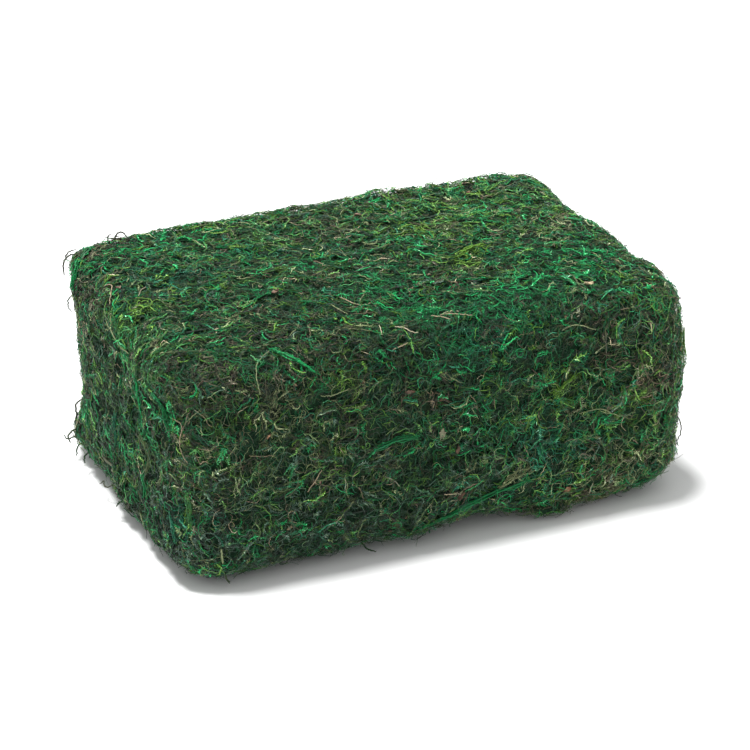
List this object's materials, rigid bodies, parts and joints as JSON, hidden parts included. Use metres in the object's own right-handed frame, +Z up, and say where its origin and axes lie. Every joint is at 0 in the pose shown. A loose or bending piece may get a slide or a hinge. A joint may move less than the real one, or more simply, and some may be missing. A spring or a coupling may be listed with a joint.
{
  "type": "moss-covered floral foam brick",
  "caption": "Rounded rectangular block of floral foam covered on every side with mats of dyed moss, held by U-shaped greening pins.",
  "frame": {"origin": "middle of the flat underside that the brick rests on", "axes": "+X along the length, +Y to the back, +Z up; the front long side faces -Y"},
  "size_m": [0.304, 0.208, 0.129],
  "materials": {
    "foam": "matte crushed open cells",
    "moss_bright": "dry fibrous, dyed emerald green",
    "moss_deep": "dry fibrous, dyed dark green",
    "moss_olive": "dry fibrous, olive and brown",
    "pin_wire": "satin dark green lacquer"
  },
  "bodies": {
    "root": {"foam_core": "foam", "top_moss_left": "moss_bright", "top_moss_right": "moss_bright", "front_moss_upper": "moss_deep", "front_moss_lower": "moss_deep", "back_moss_upper": "moss_deep", "back_moss_lower": "moss_deep", "left_end_moss": "moss_olive", "right_end_moss": "moss_olive", "base_moss_left": "moss_deep", "base_moss_right": "moss_deep", "front_loose_tuft": "moss_bright", "corner_loose_tuft": "moss_olive", "top_pins": "pin_wire", "base_pins": "pin_wire", "front_pins": "pin_wire", "back_pins": "pin_wire", "left_end_pins": "pin_wire", "right_end_pins": "pin_wire"}
  },
  "joints": []
}
